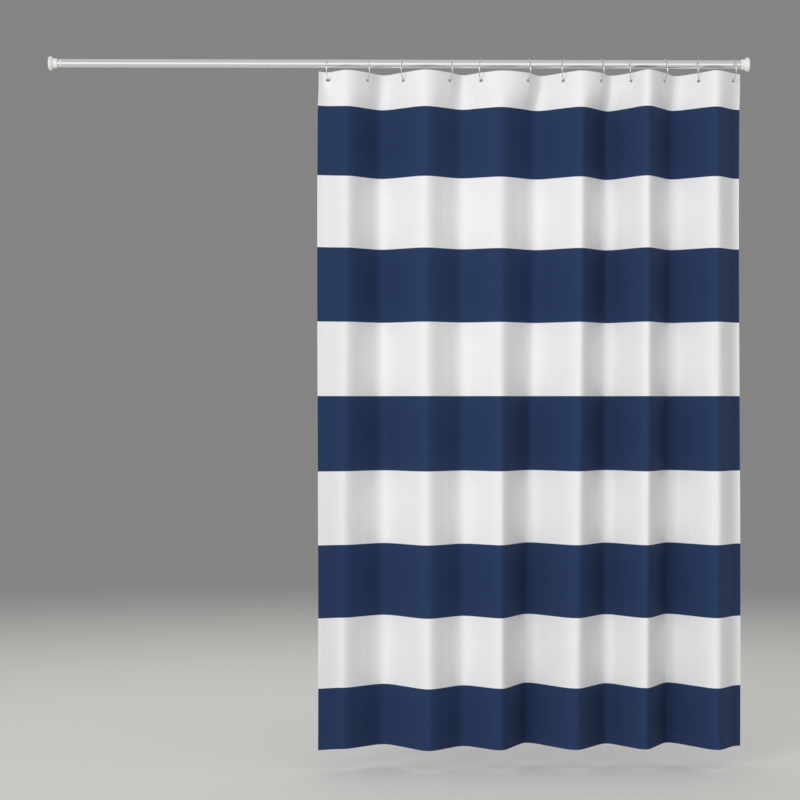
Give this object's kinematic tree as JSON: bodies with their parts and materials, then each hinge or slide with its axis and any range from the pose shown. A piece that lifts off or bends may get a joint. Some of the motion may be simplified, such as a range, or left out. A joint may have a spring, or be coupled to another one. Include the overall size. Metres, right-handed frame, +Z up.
{
  "type": "shower curtain",
  "caption": "Striped fabric shower curtain hung in pleats by open wire hooks on a telescoping tension rod; it swings, and draws together or spreads.",
  "frame": {"origin": "centre of the right end pad's outer face, on the rod's axis", "axes": "+X along the rod and out of its right end; -Y to the room side of the curtain and +Y to the tub side; +Z up"},
  "size_m": [1.9, 0.1263, 1.8713],
  "materials": {
    "rod_chrome": "polished tube",
    "hook_wire": "polished wire",
    "spindle_steel": "zinc plated",
    "white_plastic": "moulded, satin",
    "pad_rubber": "soft, matt",
    "cloth": "plain weave, white with printed navy bands"
  },
  "bodies": {
    "rod": {"rod_outer_tube": "rod_chrome", "rod_mouth_ring": "white_plastic", "wall_cup_right": "white_plastic", "wall_pad_right": "pad_rubber"},
    "lock_nut": {"rod_lock_nut": "white_plastic"},
    "inner_rod": {"rod_inner_tube": "rod_chrome", "rod_inner_plug": "white_plastic", "rod_spindle": "spindle_steel", "wall_cup_left": "white_plastic", "wall_pad_left": "pad_rubber"},
    "hook_12": {"hook_12": "hook_wire"},
    "panel_12": {"cloth_panel_12": "cloth"},
    "hook_11": {"hook_11": "hook_wire"},
    "panel_11": {"cloth_panel_11": "cloth"},
    "hook_10": {"hook_10": "hook_wire"},
    "panel_10": {"cloth_panel_10": "cloth"},
    "hook_09": {"hook_09": "hook_wire"},
    "panel_09": {"cloth_panel_09": "cloth"},
    "hook_08": {"hook_08": "hook_wire"},
    "panel_08": {"cloth_panel_08": "cloth"},
    "hook_07": {"hook_07": "hook_wire"},
    "panel_07": {"cloth_panel_07": "cloth"},
    "hook_06": {"hook_06": "hook_wire"},
    "panel_06": {"cloth_panel_06": "cloth"},
    "hook_05": {"hook_05": "hook_wire"},
    "panel_05": {"cloth_panel_05": "cloth"},
    "hook_04": {"hook_04": "hook_wire"},
    "panel_04": {"cloth_panel_04": "cloth"},
    "hook_03": {"hook_03": "hook_wire"},
    "panel_03": {"cloth_panel_03": "cloth"},
    "hook_02": {"hook_02": "hook_wire"},
    "panel_02": {"cloth_panel_02": "cloth"},
    "hook_01": {"hook_01": "hook_wire"},
    "panel_01": {"cloth_panel_01": "cloth"}
  },
  "joints": [
    {"name": "rod_extend", "type": "slide", "parent": "rod", "child": "lock_nut", "axis": [-1, 0, 0], "range_m": [-0.006, 0.45]},
    {"name": "rod_twist", "type": "hinge", "parent": "lock_nut", "child": "inner_rod", "pos_m": [-1.0924, 0, 0], "axis": [1, 0, 0], "continuous": true},
    {"name": "curtain_swing", "type": "hinge", "parent": "rod", "child": "hook_12", "pos_m": [-0.045, 0, 0], "axis": [1, 0, 0], "range_deg": [-15, 15]},
    {"name": "curtain_gather", "type": "hinge", "parent": "hook_12", "child": "panel_12", "pos_m": [-0.045, 0, 0], "axis": [0, 0, 1], "range_deg": [-28, 22]},
    {"name": "crest_11", "type": "hinge", "parent": "panel_12", "child": "panel_11", "pos_m": [-0.0915, -0.0609, 0], "axis": [0, 0, 1], "range_deg": [-44.5, 56.5]},
    {"name": "crest_10", "type": "hinge", "parent": "panel_11", "child": "panel_10", "pos_m": [-0.1845, 0.06022, 0], "axis": [0, 0, 1], "range_deg": [-56.5, 44.5]},
    {"name": "crest_09", "type": "hinge", "parent": "panel_10", "child": "panel_09", "pos_m": [-0.2765, -0.06088, 0], "axis": [0, 0, 1], "range_deg": [-44.5, 56.5]},
    {"name": "crest_08", "type": "hinge", "parent": "panel_09", "child": "panel_08", "pos_m": [-0.3625, 0.06501, 0], "axis": [0, 0, 1], "range_deg": [-56.5, 44.5]},
    {"name": "crest_07", "type": "hinge", "parent": "panel_08", "child": "panel_07", "pos_m": [-0.4545, -0.05539, 0], "axis": [0, 0, 1], "range_deg": [-44.5, 56.5]},
    {"name": "crest_06", "type": "hinge", "parent": "panel_07", "child": "panel_06", "pos_m": [-0.5535, 0.06007, 0], "axis": [0, 0, 1], "range_deg": [-56.5, 44.5]},
    {"name": "crest_05", "type": "hinge", "parent": "panel_06", "child": "panel_05", "pos_m": [-0.6655, -0.0386, 0], "axis": [0, 0, 1], "range_deg": [-44.5, 56.5]},
    {"name": "crest_04", "type": "hinge", "parent": "panel_05", "child": "panel_04", "pos_m": [-0.7715, 0.06489, 0], "axis": [0, 0, 1], "range_deg": [-56.5, 44.5]},
    {"name": "crest_03", "type": "hinge", "parent": "panel_04", "child": "panel_03", "pos_m": [-0.877, -0.03949, 0], "axis": [0, 0, 1], "range_deg": [-44.5, 56.5]},
    {"name": "crest_02", "type": "hinge", "parent": "panel_03", "child": "panel_02", "pos_m": [-0.989, 0.05969, 0], "axis": [0, 0, 1], "range_deg": [-56.5, 44.5]},
    {"name": "crest_01", "type": "hinge", "parent": "panel_02", "child": "panel_01", "pos_m": [-1.09, -0.05516, 0], "axis": [0, 0, 1], "range_deg": [-44.5, 56.5]},
    {"name": "hook_11_turn", "type": "hinge", "parent": "panel_11", "child": "hook_11", "pos_m": [-0.138, 0, 0], "axis": [0, 0, 1], "range_deg": [-20.1, 15.9]},
    {"name": "hook_10_turn", "type": "hinge", "parent": "panel_10", "child": "hook_10", "pos_m": [-0.231, 0, 0], "axis": [0, 0, 1], "range_deg": [-15.9, 20.1]},
    {"name": "hook_09_turn", "type": "hinge", "parent": "panel_09", "child": "hook_09", "pos_m": [-0.322, 0, 0], "axis": [0, 0, 1], "range_deg": [-20.1, 15.9]},
    {"name": "hook_08_turn", "type": "hinge", "parent": "panel_08", "child": "hook_08", "pos_m": [-0.403, 0, 0], "axis": [0, 0, 1], "range_deg": [-15.9, 20.1]},
    {"name": "hook_07_turn", "type": "hinge", "parent": "panel_07", "child": "hook_07", "pos_m": [-0.506, 0, 0], "axis": [0, 0, 1], "range_deg": [-20.1, 15.9]},
    {"name": "hook_06_turn", "type": "hinge", "parent": "panel_06", "child": "hook_06", "pos_m": [-0.601, 0, 0], "axis": [0, 0, 1], "range_deg": [-15.9, 20.1]},
    {"name": "hook_05_turn", "type": "hinge", "parent": "panel_05", "child": "hook_05", "pos_m": [-0.73, 0, 0], "axis": [0, 0, 1], "range_deg": [-20.1, 15.9]},
    {"name": "hook_04_turn", "type": "hinge", "parent": "panel_04", "child": "hook_04", "pos_m": [-0.813, 0, 0], "axis": [0, 0, 1], "range_deg": [-15.9, 20.1]},
    {"name": "hook_03_turn", "type": "hinge", "parent": "panel_03", "child": "hook_03", "pos_m": [-0.941, 0, 0], "axis": [0, 0, 1], "range_deg": [-20.1, 15.9]},
    {"name": "hook_02_turn", "type": "hinge", "parent": "panel_02", "child": "hook_02", "pos_m": [-1.037, 0, 0], "axis": [0, 0, 1], "range_deg": [-15.9, 20.1]},
    {"name": "hook_01_turn", "type": "hinge", "parent": "panel_01", "child": "hook_01", "pos_m": [-1.143, 0, 0], "axis": [0, 0, 1], "range_deg": [-20.1, 15.9]}
  ],
  "couplings": [
    {"joint": "crest_11", "follows": "curtain_gather", "ratio": -2},
    {"joint": "crest_10", "follows": "curtain_gather", "ratio": 2},
    {"joint": "crest_09", "follows": "curtain_gather", "ratio": -2},
    {"joint": "crest_08", "follows": "curtain_gather", "ratio": 2},
    {"joint": "crest_07", "follows": "curtain_gather", "ratio": -2},
    {"joint": "crest_06", "follows": "curtain_gather", "ratio": 2},
    {"joint": "crest_05", "follows": "curtain_gather", "ratio": -2},
    {"joint": "crest_04", "follows": "curtain_gather", "ratio": 2},
    {"joint": "crest_03", "follows": "curtain_gather", "ratio": -2},
    {"joint": "crest_02", "follows": "curtain_gather", "ratio": 2},
    {"joint": "crest_01", "follows": "curtain_gather", "ratio": -2},
    {"joint": "hook_11_turn", "follows": "curtain_gather", "ratio": 0.7},
    {"joint": "hook_10_turn", "follows": "curtain_gather", "ratio": -0.7},
    {"joint": "hook_09_turn", "follows": "curtain_gather", "ratio": 0.7},
    {"joint": "hook_08_turn", "follows": "curtain_gather", "ratio": -0.7},
    {"joint": "hook_07_turn", "follows": "curtain_gather", "ratio": 0.7},
    {"joint": "hook_06_turn", "follows": "curtain_gather", "ratio": -0.7},
    {"joint": "hook_05_turn", "follows": "curtain_gather", "ratio": 0.7},
    {"joint": "hook_04_turn", "follows": "curtain_gather", "ratio": -0.7},
    {"joint": "hook_03_turn", "follows": "curtain_gather", "ratio": 0.7},
    {"joint": "hook_02_turn", "follows": "curtain_gather", "ratio": -0.7},
    {"joint": "hook_01_turn", "follows": "curtain_gather", "ratio": 0.7}
  ]
}
